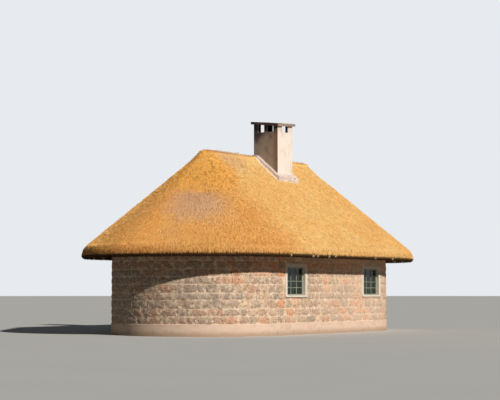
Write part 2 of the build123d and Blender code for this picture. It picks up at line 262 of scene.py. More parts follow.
def reed_colour(m, speckle):
    """Gold, deeper at both ends, with weathered, bleached and renewed patches."""
    base = m.ramp(m.noise(0.9, 4.0, 0.6), [
        (0.3, srgb(252, 204, 128)),
        (0.5, srgb(255, 211, 136)),
        (0.7, srgb(255, 219, 150)),
    ])
    base = m.mix((-m.x).step(2.9, 4.8) * 0.6, base, srgb(242, 166, 74))
    base = m.mix(m.x.step(3.0, 5.5) * 0.5, base, srgb(246, 178, 88))
    mauve = m.near(WEATHERED_SPOT, 0.95, 0.6) * 0.75
    mauve = mauve.max(m.near(WEATHERED_RIDGE, 0.8, 0.7) * 0.5)
    mauve = mauve.max(m.noise(0.6, 5.0).step(0.58, 0.75) * 0.2)
    base = m.mix(mauve, base, srgb(222, 178, 148))
    pale = m.near(BLEACHED_SPOT, 0.8, 0.7) * speckle.step(0.52, 0.60)
    base = m.mix(pale * 0.7, base, srgb(255, 226, 180))
    crown = m.near(NEW_CROWN, 1.35, 0.2)
    base = m.mix(crown * 0.85, base, srgb(255, 192, 94))
    parting = abs(m.noise(1.4, 6.0, 0.7) - 0.5)
    split = (1.0 - parting.step(0.004, 0.016)) * m.noise(3.0, 2.0).step(0.45, 0.6)
    return m.mix(split * crown * 0.6, base, srgb(112, 66, 30))


def cement_lap(m, base):
    """Cement smeared over the thatch round the foot of the stack."""
    low, high = FILLET
    ragged = (m.noise(5.0, 4.0, 0.7) - 0.5) * 0.3
    left = (m.x + ragged).step(low[0] - 0.15, low[0] - 0.11)
    right = 1.0 - m.x.step(high[0], high[0] + 0.02)
    front = (m.y + ragged).step(low[1] - 0.05, low[1])
    back = 1.0 - (m.y + ragged).step(0.14, 0.2)
    seam = abs(m.noise(6.0, 3.0) - 0.5).step(0.0, 0.03)
    cement = m.mix(seam, srgb(150, 122, 112), srgb(248, 230, 218))
    return m.mix(left * right * front * back, base, cement)


def thatch_finish(name, straw=False):
    """Golden reed: fine speckle, streaks down the slope, weathered patches, and painted shade
    below the eave's brow.
    """
    m = Finish(name)
    inside = m.x.max(-HALF_STRAIGHT).min(HALF_STRAIGHT)
    turn = (m.x - inside).arctan2(abs(m.y))
    along = inside + turn * 3.0
    streaks = m.noise(1.0, 4.0, 0.6, m.vector(along * 20.0, m.z * 2.6, m.y * 0.05))
    speckle = m.noise(46.0, 3.0, 0.75)
    base = reed_colour(m, speckle)
    if not straw:
        base = cement_lap(m, base)
    dark = speckle.step(0.48, 0.30) * 0.35 + streaks.step(0.48, 0.28) * 0.15
    base = m.mix(dark.min(1.0), base, srgb(140, 86, 38))
    light = speckle.step(0.60, 0.76) * 0.6
    base = m.mix(light, base, srgb(255, 216, 144))
    nose = 1.0 - m.z.step(EAVE_LOW[2] + 0.20, EAVE_LOW[2] + 0.42)
    base = m.mix(nose * 0.4, base, srgb(216, 146, 72))
    if straw:
        tint = m.mark("tone")
        base = m.mix(tint.step(0.60, 1.0) * 0.55, base, srgb(255, 224, 156))
        base = m.mix(tint.step(0.36, 0.0) * (nose * 0.4 + 0.5), base, srgb(146, 88, 38))
    # Dark below the eave's brow: painted shade under the lip and between the straw butts.
    brow = EAVE_LOW[2] + (0.09 if straw else 0.19)
    ragged = m.z + (m.noise(14.0, 2.0) - 0.5) * 0.10
    base = m.mix((1.0 - ragged.step(brow - 0.03, brow + 0.03)) * 0.94, base, srgb(58, 38, 24))
    return m.finish(base, 0.86, speckle * 0.6 + streaks * 0.7, 0.5, 0.02, Specular_IOR_Level=0.2)


def stone_finish():
    """Roughly dressed fieldstone: one tone for each stone, from its own attribute."""
    m = Finish("fieldstone")
    tone = m.mark("tone")
    edge = m.mark("edge")
    fine = m.noise(24.0, 5.0, 0.7)
    broad = m.noise(6.0, 4.0, 0.6)
    chip = m.noise(11.0, 4.0, 0.7)
    colour = m.ramp(tone, [
        (0.00, srgb(238, 156, 106)),
        (0.10, srgb(228, 170, 130)),
        (0.24, srgb(184, 164, 144)),
        (0.40, srgb(216, 180, 150)),
        (0.54, srgb(162, 148, 132)),
        (0.68, srgb(226, 190, 158)),
        (0.82, srgb(178, 156, 136)),
        (0.92, srgb(232, 164, 122)),
        (1.00, srgb(238, 206, 168)),
    ])
    # Greyer and darker towards the left end: painted shade on the end that turns away from the
    # light.
    colour = m.mix((-m.x).step(4.4, 6.4) * 0.5, colour, srgb(142, 132, 122))
    colour = m.mix(broad.step(0.48, 0.64) * 0.55, colour, srgb(252, 226, 194))
    colour = m.mix(chip.step(0.49, 0.36) * 0.75, colour, srgb(104, 84, 70))
    colour = m.mix(fine.step(0.48, 0.34) * 0.6, colour, srgb(84, 66, 54))
    colour = m.mix(fine.step(0.56, 0.68) * 0.5, colour, srgb(255, 232, 204))
    colour = m.mix(m.x.step(-2.5, 3.2) * 0.34 + 0.12, colour, srgb(252, 218, 194))
    smear = (edge + (chip - 0.5) * 1.6 + (broad - 0.5) * 1.2).step(0.92, 1.2)
    colour = m.mix(smear * 0.85, colour, srgb(252, 226, 196))
    return m.finish(colour, 0.88, fine * 0.6 + chip * 1.2, 0.9, 0.02, Specular_IOR_Level=0.25)


def mortar_finish():
    m = Finish("lime_mortar")
    grain = m.noise(50.0, 4.0, 0.7)
    colour = m.ramp(m.noise(3.0, 4.0), [
        (0.3, srgb(220, 188, 160)),
        (0.5, srgb(244, 216, 190)),
        (0.7, srgb(254, 234, 210)),
    ])
    colour = m.mix(grain.step(0.55, 0.35) * 0.4, colour, srgb(160, 130, 104))
    return m.finish(colour, 0.92, grain, 0.5, 0.008, Specular_IOR_Level=0.2)


def plaster_finish(name, tint, stain, low_stain=0.0):
    """Limewashed plaster with stains, small cracks and a dirty foot."""
    m = Finish(name)
    grain = m.noise(38.0, 5.0, 0.65)
    blotch = m.noise(2.4, 5.0, 0.6)
    crack = m.cell_edges(3.2, m.vector(m.x + blotch * 0.3, m.y, m.z + blotch * 0.3))
    colour = m.mix(blotch.step(0.45, 0.72) * 0.55, tint, stain)
    colour = m.mix(grain.step(0.62, 0.38) * 0.25, colour, stain)
    colour = m.mix((1.0 - crack.step(0.002, 0.012)) * 0.2, colour, srgb(120, 104, 90))
    if low_stain:
        foot = 1.0 - (m.z + (blotch - 0.5) * 0.3).step(0.02, low_stain)
        colour = m.mix(foot * 0.6, colour, srgb(150, 122, 94))
    return m.finish(colour, 0.85, grain * 0.5 + blotch * 0.5, 0.45, 0.01, Specular_IOR_Level=0.25)


def chimney_finish():
    """Cream plaster; the left face darker and browner as painted shade, redder near its front
    corner; soot at the head, heavier on the left face as painted shade.
    """
    m = Finish("chimney_plaster")
    low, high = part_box("chimney_stack")
    grain = m.noise(30.0, 5.0, 0.65)
    blotch = m.noise(2.6, 5.0, 0.65)
    colour = m.mix(blotch.step(0.48, 0.68) * 0.5, srgb(248, 236, 226), srgb(234, 200, 180))
    # Left face: painted shade, darker and browner all over, redder towards its front corner, with
    # darker blotches.
    side = 1.0 - m.x.step(low[0] + 0.002, low[0] + 0.012)
    corner = 1.0 - m.y.step(low[1] + 0.05, low[1] + 0.3)
    colour = m.mix(side * 0.88, colour, srgb(156, 138, 122))
    colour = m.mix(side * corner * 0.6, colour, srgb(124, 88, 68))
    colour = m.mix(side * blotch.step(0.5, 0.7) * 0.5, colour, srgb(112, 92, 72))
    drip = m.noise(1.0, 4.0, 0.6, m.vector(m.x * 6.0, m.y * 6.0, m.z * 0.7))
    # Soot at the head, reaching lower towards the back of the left face and darker on that face:
    # soot with painted shade.
    back = m.y.step(low[1] + 0.25, high[1])
    soot_and_painted_shade = (m.z + (blotch - 0.5) * 0.5 + back * side * 0.42).step(high[2] - 0.62, high[2] - 0.12)
    colour = m.mix(soot_and_painted_shade * (side * 0.65 + 0.2), colour, srgb(44, 38, 36))
    colour = m.mix(drip.step(0.54, 0.70) * 0.22, colour, srgb(150, 122, 102))
    # Near black inside the flue: soot, with painted shade deep inside.
    inner = (m.x - low[0]).min(high[0] - m.x).min(m.y - low[1]).min(high[1] - m.y).step(0.02, 0.06)
    colour = m.mix(inner, colour, srgb(30, 26, 24))
    return m.finish(colour, 0.88, grain * 0.4 + blotch * 0.7, 0.55, 0.012, Specular_IOR_Level=0.2)


def cement_finish():
    m = Finish("cement_fillet")
    grain = m.noise(34.0, 5.0, 0.7)
    blotch = m.noise(6.0, 4.0)
    colour = m.ramp(blotch, [
        (0.35, srgb(226, 196, 180)),
        (0.5, srgb(244, 224, 212)),
        (0.7, srgb(250, 236, 228)),
    ])
    seam = 1.0 - abs(m.noise(6.0, 3.0) - 0.5).step(0.0, 0.035)
    colour = m.mix((seam * 0.7).max(grain.step(0.5, 0.35) * 0.4), colour, srgb(140, 114, 106))
    return m.finish(colour, 0.9, grain * 0.6 + blotch, 0.8, 0.02, Specular_IOR_Level=0.2)


def slab_finish():
    m = Finish("slab_soot_and_painted_light")
    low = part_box("chimney_cap")[0]
    grain = m.noise(24.0, 5.0, 0.7)
    blotch = m.noise(3.0, 4.0)
    # Dark brown slab: soot, with painted shade on its underside and left face.
    colour = m.ramp(blotch, [(0.35, srgb(66, 52, 52)), (0.65, srgb(112, 92, 82))])
    # Paler along the front edge: painted light on the face the sun strikes.
    front = 1.0 - m.y.step(low[1] + 0.02, low[1] + 0.05)
    colour = m.mix(front * 0.8, colour, srgb(206, 180, 158))
    colour = m.mix(grain.step(0.6, 0.42) * 0.5, colour, srgb(40, 34, 36))
    return m.finish(colour, 0.9, grain, 0.7, 0.01, Specular_IOR_Level=0.25)


def wood_finish(name, pale, dark):
    """Weathered timber: fine grain and darker blotches."""
    m = Finish(name)
    grain = m.noise(1.0, 5.0, 0.65, m.vector(m.x * 30.0, m.y * 30.0, m.z * 30.0))
    blotch = m.noise(2.0, 4.0)
    colour = m.mix(grain.step(0.42, 0.62), dark, pale)
    colour = m.mix(blotch.step(0.5, 0.75) * 0.4, colour, dark)
    return m.finish(colour, 0.8, grain, 0.4, 0.004, Specular_IOR_Level=0.25)


def paint_finish():
    """Old pale green paint on steel, chalky and chipped."""
    m = Finish("window_paint")
    chip = m.noise(45.0, 4.0, 0.7)
    fade = m.noise(3.0, 3.0)
    colour = m.mix(fade.step(0.4, 0.65), srgb(134, 144, 120), srgb(160, 166, 144))
    rust = chip.step(0.66, 0.72)
    colour = m.mix(rust * 0.8, colour, srgb(120, 78, 52))
    return m.finish(colour, 0.5 + rust * 0.35, chip, 0.2, 0.002)


def glass_finish():
    m = Finish("window_glass")
    dust = m.noise(5.0, 5.0, 0.6)
    # Near-black green: painted shade of the unlit room behind the glass, with lighter patches of
    # dust.
    colour = m.mix(dust.step(0.4, 0.8) * 0.5, srgb(30, 38, 34), srgb(78, 88, 76))
    return m.finish(colour, 0.06 + dust * 0.12, Specular_IOR_Level=0.25)


def floor_finish():
    m = Finish("screed")
    grain = m.noise(30.0, 5.0, 0.6)
    blotch = m.noise(1.2, 4.0)
    colour = m.ramp(blotch, [(0.3, srgb(128, 116, 104)), (0.7, srgb(160, 148, 132))])
    colour = m.mix(grain.step(0.6, 0.4) * 0.4, colour, srgb(100, 90, 80))
    return m.finish(colour, 0.7, grain, 0.3, 0.004)


# Modelling helpers

def clear_selection():
    if bpy.context.mode != "OBJECT":
        bpy.ops.object.mode_set(mode="OBJECT")
    bpy.ops.object.select_all(action="DESELECT")


def select_only(*objects):
    clear_selection()
    for item in objects:
        item.select_set(True)
    bpy.context.view_layer.objects.active = objects[0]


def join(pieces, name):
    select_only(*pieces)
    bpy.ops.object.join()
    piece = bpy.context.object
    piece.name = name
    piece.data.name = name
    settle(piece)
    return piece


def settle(piece):
    """Bake the place, turn and size of an object into its mesh."""
    select_only(piece)
    bpy.ops.object.transform_apply(location=True, rotation=True, scale=True)


def copy_of(master, matrix):
    twin = master.copy()
    twin.data = master.data.copy()
    bpy.context.collection.objects.link(twin)
    twin.matrix_world = matrix
    return twin


def delete(*objects):
    for item in objects:
        bpy.data.objects.remove(item)


def apply_modifiers(piece):
    select_only(piece)
    for modifier in list(piece.modifiers):
        bpy.ops.object.modifier_apply(modifier=modifier.name)


def dress(piece, material):
    piece.data.materials.clear()
    piece.data.materials.append(material)


def add_piece(piece, material):
    dress(piece, material)
    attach(piece, "root")


def beam(low, high, bevel=0.0):
    """A squared piece between two corners, its edges eased."""
    size = [b - a for a, b in zip(low, high)]
    middle = [(a + b) / 2 for a, b in zip(low, high)]
    clear_selection()
    bpy.ops.mesh.primitive_cube_add(size=1.0, location=middle)
    piece = bpy.context.object
    piece.scale = size
    settle(piece)
    if bevel:
        bpy.ops.object.mode_set(mode="EDIT")
        bpy.ops.mesh.select_all(action="SELECT")
        bpy.ops.mesh.bevel(offset=bevel, segments=1)
        bpy.ops.object.mode_set(mode="OBJECT")
    return piece


# Stone walls

def roughen(mesh, rng, spread):
    """Knock the corners back, swell the face and mark how near each point is to the edge."""
    edges = []
    for vertex in mesh.vertices:
        x, y, z = vertex.co
        edge = max(abs(x), abs(z)) * 2
        corner = 4 * abs(x * z)
        edges.append(1.0 if edge > 0.9 else 0.0)
        vertex.co.x *= 1.0 - corner ** 4 * rng.uniform(0.02, 0.20)
        vertex.co.z *= 1.0 - corner ** 4 * rng.uniform(0.02, 0.24)
        vertex.co.x += rng.uniform(-spread, spread)
        vertex.co.z += rng.uniform(-spread, spread)
        if y < -0.4:
            vertex.co.y += 0.44 * edge ** 3 + rng.uniform(-0.12, 0.12)
    marks = mesh.attributes.new("edge", "FLOAT", "POINT")
    marks.data.foreach_set("value", edges)


def stone_masters(count):
    """Differently worn stones of unit size, to be copied into the wall."""
    masters = []
    for number in range(count):
        stone = stone_block()
        roughen(stone.data, random.Random(SEED + number), 0.045)
        masters.append(stone)
    return masters


def stone_block():
    clear_selection()
    bpy.ops.mesh.primitive_cube_add(size=1.0)
    stone = bpy.context.object
    stone.name = "stone"
    bpy.ops.object.mode_set(mode="EDIT")
    bpy.ops.mesh.select_all(action="SELECT")
    bpy.ops.mesh.subdivide(number_cuts=2)
    bpy.ops.object.mode_set(mode="OBJECT")
    return stone


def round_face(centre, turn):
    """Point on the face of a round end, at a turn from facing the front."""
    return centre + WALL_RADIUS * math.sin(turn), -WALL_RADIUS * math.cos(turn)


def wall_station(distance):
    """Point, turn and name of the wall face at a distance round the hut.

    The distance starts at the left end of the straight front and runs
    anticlockwise seen from above, so it goes along +X first.
    """
    distance = distance % GIRTH
    if distance < STRAIGHT:
        return (-HALF_STRAIGHT + distance, -WALL_RADIUS), 0.0, "front"
    distance -= STRAIGHT
    if distance < ROUND:
        turn = distance / WALL_RADIUS
        return round_face(HALF_STRAIGHT, turn), turn, "right"
    distance -= ROUND
    if distance < STRAIGHT:
        return (HALF_STRAIGHT - distance, WALL_RADIUS), math.pi, "back"
    distance -= STRAIGHT
    turn = math.pi + distance / WALL_RADIUS
    return round_face(-HALF_STRAIGHT, turn), turn, "left"


def openings():
    """Stretches of the wall that the window and door surrounds take up."""
    half = WINDOW_WIDTH / 2 + BAND
    low, high = SILLS_LOW[2], SURROUND_HIGH[2]
    places = []
    for x in WINDOW_CENTRES:
        front = x + HALF_STRAIGHT
        back = STRAIGHT + ROUND + HALF_STRAIGHT - x
        places.append((front - half, front + half, low, high))
        places.append((back - half, back + half, low, high))
    door_low, door_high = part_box("door_surround")
    middle = STRAIGHT + ROUND + HALF_STRAIGHT
    places.append((middle - door_high[0], middle + door_high[0], door_low[2], door_high[2]))
    return places


def free_spans(start, end, low, high, blocked):
    """Parts of one stone's place that no surround covers."""
    for b_start, b_end, b_low, b_high in blocked:
        if end <= b_start or start >= b_end or high <= b_low or low >= b_high:
            continue
        spans = []
        if start < b_start - SHORTEST_CUT:
            spans.append((start, b_start, low, high))
        if end > b_end + SHORTEST_CUT:
            spans.append((b_end, end, low, high))
        inside = (max(start, b_start), min(end, b_end))
        if inside[1] - inside[0] > SHORTEST_CUT:
            if high > b_high + LOWEST_CUT:
                spans.append((*inside, b_high, high))
            if low < b_low - LOWEST_CUT:
                spans.append((*inside, low, b_low))
        return spans
    return [(start, end, low, high)]


def lay_stones(masters):
    """Stones of every course, sorted by the side of the hut they face."""
    rng = random.Random(SEED)
    blocked = openings()
    count = round((WALL_TOP - PLINTH_TOP) / COURSE)
    rise = (WALL_TOP - PLINTH_TOP) / count
    beds = [PLINTH_TOP + i * rise for i in range(count + 1)]
    for i in range(1, count):
        beds[i] += rng.uniform(-BED_WANDER, BED_WANDER)
    stones = {"front": [], "right": [], "back": [], "left": []}
    for low, high in zip(beds, beds[1:]):
        for start, end in course_joints(rng):
            for span in free_spans(start, end, low, high, blocked):
                place_stone(masters, rng, span, stones)
    return stones


def course_joints(rng):
    """Upright joints of one course right round the hut."""
    place = rng.uniform(0.0, 0.3)
    first = place
    joints = []
    while place < first + GIRTH - 0.2:
        length = rng.choice(STONE_LENGTHS) * rng.uniform(0.88, 1.12)
        end = min(place + length, first + GIRTH)
        joints.append((place, end))
        place = end
    return joints


def place_stone(masters, rng, span, stones):
    start, end, low, high = span
    (x, y), turn, side = wall_station((start + end) / 2)
    proud = rng.uniform(*STONE_PROUD)
    height = high - low - rng.uniform(0.6, 1.3) * JOINT
    size = (end - start - JOINT + 0.012, STONE_BED + proud, height)
    if size[0] < 0.05 or height < 0.04:
        return
    flip = math.pi if rng.random() < 0.5 else 0.0
    out = Vector((math.sin(turn), -math.cos(turn), 0.0))
    centre = Vector((x, y, (low + high) / 2)) + out * (proud - STONE_BED) / 2
    tilt = Matrix.Rotation(rng.uniform(-STONE_TILT, STONE_TILT), 4, "Y")
    matrix = Matrix.Translation(centre) @ Matrix.Rotation(turn, 4, "Z") @ tilt
    matrix = matrix @ Matrix.Diagonal((*size, 1.0)) @ Matrix.Rotation(flip, 4, "Y")
    stone = copy_of(rng.choice(masters), matrix)
    tone = stone.data.attributes.new("tone", "FLOAT", "POINT")
    tone.data.foreach_set("value", [rng.random()] * len(stone.data.vertices))
    stones[side].append(stone)


def build_stones(material):
    masters = stone_masters(STONE_SHAPES)
    for side, stones in lay_stones(masters).items():
        piece = join(stones, "stones_" + side)
        add_piece(piece, material)
    delete(*masters)


# Thatch

# The coat's section, in radius from the ridge line. The ridge falls below the top of the
# thatch, then stands proud of the slope; the ease falls below the slope; the nose is
# measured in from the eave's tip and up from its low edge; the underside is plain.
RIDGE_FALL = ((0.0, 0.014), (0.09, 0.03), (0.18, 0.07))
RIDGE_PROUD = ((0.28, 0.040), (0.38, 0.030), (0.48, 0.012), (0.60, 0.0))
SLOPE_START, SLOPE_END, SLOPE_ROWS = 0.68, 4.22, 41
SLOPE_SUNK = 0.008
EASE_FALL = ((4.28, 0.015), (4.33, 0.032), (4.37, 0.058), (4.40, 0.092))
NOSE = ((0.070, 0.214), (0.055, 0.16), (0.048, 0.11), (0.054, 0.06),
        (0.085, 0.027), (0.135, 0.012), (0.2, 0.03))
UNDERSIDE = (4.2, 3.8, 3.3, 2.4, 1.4, 0.5, 0.0)

END_STEPS = 60
STRAIGHT_STEPS = 28

# A point off every line of symmetry, so that no two faces lie equally far from it
ORDER_FROM = (97.3, -61.7, 23.9)

# Clouds that push the coat in and out: size and depth of each
WEATHER = (("swell", 1.3, 0.024), ("hollow", 0.35, 0.016), ("rough", 0.12, 0.012))


def thatch_outline():
    """Radius and height of the coat's section, from the crown round the eave and back."""
    points = [(radius, THATCH_TOP - fall) for radius, fall in RIDGE_FALL]
    for radius, rise in RIDGE_PROUD:
        points.append((radius, APEX - SLOPE * radius + rise - SLOPE_SUNK))
    for i in range(SLOPE_ROWS + 1):
        radius = SLOPE_START + (SLOPE_END - SLOPE_START) * i / SLOPE_ROWS
        points.append((radius, APEX - SLOPE * radius - SLOPE_SUNK))
    for radius, fall in EASE_FALL:
        points.append((radius, APEX - SLOPE * radius - fall))
    tip, low = EAVE_RADIUS - STRAW_ROOM, EAVE_LOW[2]
    for inset, height in NOSE:
        points.append((tip - inset, low + height))
    for radius in UNDERSIDE:
        points.append((radius, APEX - THATCH_DROP - SLOPE * radius))
    return points


def extrude_by(offset):
    bpy.ops.mesh.extrude_region_move(TRANSFORM_OT_translate={"value": offset})


def draw_chain(points):
    """A chain of edges on the front slope, drawn point by point."""
    clear_selection()
    x = HALF_STRAIGHT
    bpy.ops.mesh.primitive_plane_add(size=0.01, location=(x, -points[0][0], points[0][1]))
    bpy.ops.object.mode_set(mode="EDIT")
    bpy.ops.mesh.merge(type="CENTER")
    for (r0, z0), (r1, z1) in zip(points, points[1:]):
        extrude_by((0.0, r0 - r1, z1 - z0))
    bpy.ops.mesh.select_all(action="SELECT")


def run_straight(length):
    for _ in range(STRAIGHT_STEPS):
        extrude_by((length / STRAIGHT_STEPS, 0.0, 0.0))


def spin_end(centre):
    bpy.ops.mesh.spin(steps=END_STEPS, angle=math.pi, center=(centre, 0, 0), axis=(0, 0, -1))


def put_in_order(point):
    """Number points and faces by their distance from a point off every line of symmetry.

    The straw is strewn by face number, and spins and extrusions number faces
    differently from run to run.
    """
    cursor = bpy.context.scene.cursor
    cursor.location = point
    bpy.ops.mesh.sort_elements(type="CURSOR_DISTANCE", elements={"VERT", "EDGE", "FACE"})
    cursor.location = (0.0, 0.0, 0.0)


def thatch_coat():
    """The whole thatch: one section spun round both ends and run between them."""
    draw_chain(thatch_outline())
    spin_end(HALF_STRAIGHT)
    run_straight(-STRAIGHT)
    spin_end(-HALF_STRAIGHT)
    run_straight(STRAIGHT)
    bpy.ops.mesh.select_all(action="SELECT")
    bpy.ops.mesh.remove_doubles(threshold=0.002)
    bpy.ops.mesh.normals_make_consistent(inside=False)
    put_in_order(ORDER_FROM)
    bpy.ops.object.mode_set(mode="OBJECT")
    coat = bpy.context.object
    settle(coat)
    return coat


def weather_coat(coat):
    """Swells and hollows of the upper face, and the slight rise along the ridge."""
    weather = coat.vertex_groups.new(name="weather")
    crown = coat.vertex_groups.new(name="crown")
    for vertex in coat.data.vertices:
        radius = plan_radius(vertex.co)
        up = vertex.normal.z > 0.2
        edge = radius > EAVE_RADIUS - 0.12 or radius < 0.05
        weight = 0.35 if edge else 1.0
        weather.add([vertex.index], weight if up else 0.0, "REPLACE")
        across = max(0.0, 1.0 - radius / 1.6)
        along = max(0.0, 1.0 - ((vertex.co.x + 1.6) / 2.2) ** 2)
        crown.add([vertex.index], across * along, "REPLACE")
    finer = coat.modifiers.new("finer", "SUBSURF")
    finer.subdivision_type = "SIMPLE"
    finer.levels = 1
    finer.render_levels = 1
    for name, size, depth in WEATHER:
        texture = bpy.data.textures.new("thatch_" + name, "CLOUDS")
        texture.noise_scale = size
        push = coat.modifiers.new(name, "DISPLACE")
        push.texture = texture
        push.texture_coords = "LOCAL"
        push.strength = depth
        push.mid_level = 0.5
        push.vertex_group = "weather"
    lift = coat.modifiers.new("crown", "DISPLACE")
    lift.direction = "Z"
    lift.strength = 0.025
    lift.mid_level = 0.0
    lift.vertex_group = "crown"
    apply_modifiers(coat)


def plan_radius(point):
    """Distance from the ridge line, or from its end past the straight part."""
    past = max(abs(point[0]) - HALF_STRAIGHT, 0.0)
    return math.hypot(past, point[1])


def mark_faces(piece, name, test):
    marks = piece.data.attributes.new(name, "BOOLEAN", "FACE")
    marks.data.foreach_set("value", [test(face) for face in piece.data.polygons])


def straw_master(thickness):
    """A single straw of unit length along +X, drawn to a point."""
    clear_selection()
    bpy.ops.mesh.primitive_cone_add(vertices=3, radius1=thickness, radius2=0.0, depth=1.0,
                                    end_fill_type="NOTHING", location=(0.5, 0, 0),
                                    rotation=(0, math.pi / 2, 0))
    straw = bpy.context.object
    settle(straw)
    return straw


def scatter(coat, straw, name, marks, density, seed, lengths, lift, spread):
    """Straws strewn over the marked faces, all running down the slope."""
    tree = bpy.data.node_groups.new(name, "GeometryNodeTree")
    tree.interface.new_socket("Geometry", in_out="INPUT", socket_type="NodeSocketGeometry")
    tree.interface.new_socket("Geometry", in_out="OUTPUT", socket_type="NodeSocketGeometry")
    g = Graph(tree)
    skin = g.add("NodeGroupInput")
    wanted = g.add("GeometryNodeInputNamedAttribute", {"data_type": "BOOLEAN"}, {"Name": marks})
    inputs = {"Mesh": skin, "Selection": wanted, "Density": density, "Seed": seed}
    points = g.add("GeometryNodeDistributePointsOnFaces", inputs=inputs)
    normal = Term(g, points.socket.node.outputs["Normal"])
    lean = g.vector_math("DOT_PRODUCT", {0: normal, 1: (0, 0, -1)}, 1)
    flat = g.vector_math("SCALE", {0: normal, 3: lean})
    down = g.vector_math("SUBTRACT", {0: (0, 0, -1), 1: flat})
    limits = {0: (-spread,) * 3, 1: (spread,) * 3, 8: seed}
    stray = g.add("FunctionNodeRandomValue", {"data_type": "FLOAT_VECTOR"}, limits)
    lifted = g.vector_math("SCALE", {0: normal, 3: lift})
    way = g.vector_math("ADD", {0: down, 1: stray})
    way = g.vector_math("ADD", {0: way, 1: lifted})
    turn = g.add("FunctionNodeAlignRotationToVector", {"axis": "X"}, {"Vector": way})
    length = g.random(*lengths, seed + 1)
    size = g.add("ShaderNodeCombineXYZ", inputs={0: length, 1: 1.0, 2: 1.0})
    source = g.add("GeometryNodeObjectInfo", inputs={"Object": straw}, output="Geometry")
    inputs = {"Points": points, "Instance": source, "Rotation": turn, "Scale": size}
    strewn = g.add("GeometryNodeInstanceOnPoints", inputs=inputs)
    settings = {"data_type": "FLOAT", "domain": "INSTANCE"}
    inputs = {"Geometry": strewn, "Name": "tone", "Value": g.random(0.0, 1.0, seed + 2)}
    toned = g.add("GeometryNodeStoreNamedAttribute", settings, inputs)
    real = g.add("GeometryNodeRealizeInstances", inputs={0: toned})
    g.add("NodeGroupOutput", inputs={0: real})
    piece = copy_of(coat, Matrix())
    piece.name = name
    modifier = piece.modifiers.new(name, "NODES")
    modifier.node_group = tree
    apply_modifiers(piece)
    return piece


# Loose straw on each part of the slopes: straws to a square metre, and where
LEFT_PART = -2.2
STRAW = {
    "left": (780.0, lambda p: p.y < 0 and p.x < LEFT_PART),
    "front": (780.0, lambda p: p.y < 0 and p.x >= LEFT_PART),
    "back": (330.0, lambda p: p.y >= 0),
}
FRINGE_DENSITY = 1900.0
BUTTS_DENSITY = 900.0

# How each kind of straw lies: shortest and longest, lift off the thatch, and stray
LOOSE = {"lengths": (0.06, 0.15), "lift": 0.07, "spread": 0.13}
FRINGE = {"lengths": (0.06, 0.13), "lift": 0.06, "spread": 0.08}
BUTTS = {"lengths": (0.03, 0.06), "lift": 0.25, "spread": 0.2}

# Height over the eave's low edge where its rounded brow meets its cut face
BROW = EAVE_LOW[2] + 0.15


def near_chimney(point):
    low, high = FILLET
    return low[0] - 0.15 < point.x < high[0] and low[1] - 0.03 < point.y < high[1]


def near_eave(face, width):
    return plan_radius(face.center) > EAVE_RADIUS - width


def on_slope(face):
    """Upper faces clear of the stack's foot and of the eave."""
    if near_chimney(face.center) or near_eave(face, 0.20):
        return False
    return face.normal.z > 0.3


def on_brow(face):
    return near_eave(face, 0.28) and face.center.z > BROW


def on_cut(face):
    return near_eave(face, 0.22) and face.center.z < BROW


def strew_slopes(coat, straw, material):
    for seed, (name, (density, on_side)) in enumerate(STRAW.items()):
        mark_faces(coat, name, lambda face: on_slope(face) and on_side(face.center))
        piece = scatter(coat, straw, "straw_" + name, name, density, seed, **LOOSE)
        add_piece(piece, material)


def build_thatch(material, straw_material):
    coat = thatch_coat()
    coat.name = "thatch_coat"
    weather_coat(coat)
    straw = straw_master(0.0085)
    strew_slopes(coat, straw, straw_material)
    mark_faces(coat, "brow", on_brow)
    mark_faces(coat, "cut", on_cut)
    butt = straw_master(0.015)
    fringe = scatter(coat, butt, "eave_straw", "brow", FRINGE_DENSITY, 9, **FRINGE)
    add_piece(fringe, straw_material)
    butts = scatter(coat, butt, "eave_butts", "cut", BUTTS_DENSITY, 10, **BUTTS)
    add_piece(butts, material)
    select_only(coat)
    bpy.ops.object.shade_smooth_by_angle(angle=math.radians(50))
    add_piece(coat, material)
    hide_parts("thatch_front", "thatch_back", "thatch_left_end",
                "thatch_right_end", "thatch_ridge")
    delete(straw, butt)


# Pole ends under the front eave: place along the hut and drop below the others
POLE_ENDS = ((-4.3, 0.0), (-3.0, 0.012), (-2.7, 0.0), (-1.92, 0.006),
             (-1.47, -0.01), (1.47, 0.0), (2.81, 0.0))
POLE_END_RADIUS = 0.047
POLE_END_HALF = 0.16
POLE_END_INSET = 0.04


def build_pole_ends(material):
    """Peeled ends of a few poles that come through under the front eave."""
    pitch = math.atan(SLOPE)
    pieces = []
    for x, drop in POLE_ENDS:
        clear_selection()
        past = plan_radius((x, 0.0, 0.0))
        reach = math.sqrt((EAVE_RADIUS - POLE_END_INSET) ** 2 - past ** 2)
        y = -reach + POLE_END_HALF * math.cos(pitch)
        z = EAVE_LOW[2] + POLE_END_INSET - drop + POLE_END_HALF * math.sin(pitch)
        bpy.ops.mesh.primitive_cylinder_add(vertices=14, radius=POLE_END_RADIUS,
                                            depth=2 * POLE_END_HALF, location=(x, y, z),
                                            rotation=(math.pi / 2 + pitch, 0, 0))
        end = bpy.context.object
        settle(end)
        pieces.append(end)
    ends = join(pieces, "pole_ends")
    bpy.ops.object.mode_set(mode="EDIT")
    bpy.ops.mesh.select_all(action="SELECT")
    bpy.ops.mesh.bevel(offset=0.006, segments=1)
    bpy.ops.object.mode_set(mode="OBJECT")
    add_piece(ends, material)


# Windows and door

UPRIGHT_HALF = 0.014  # half widths of the glazing bars
CROSS_HALF = 0.011
BAR_EASE = 0.003


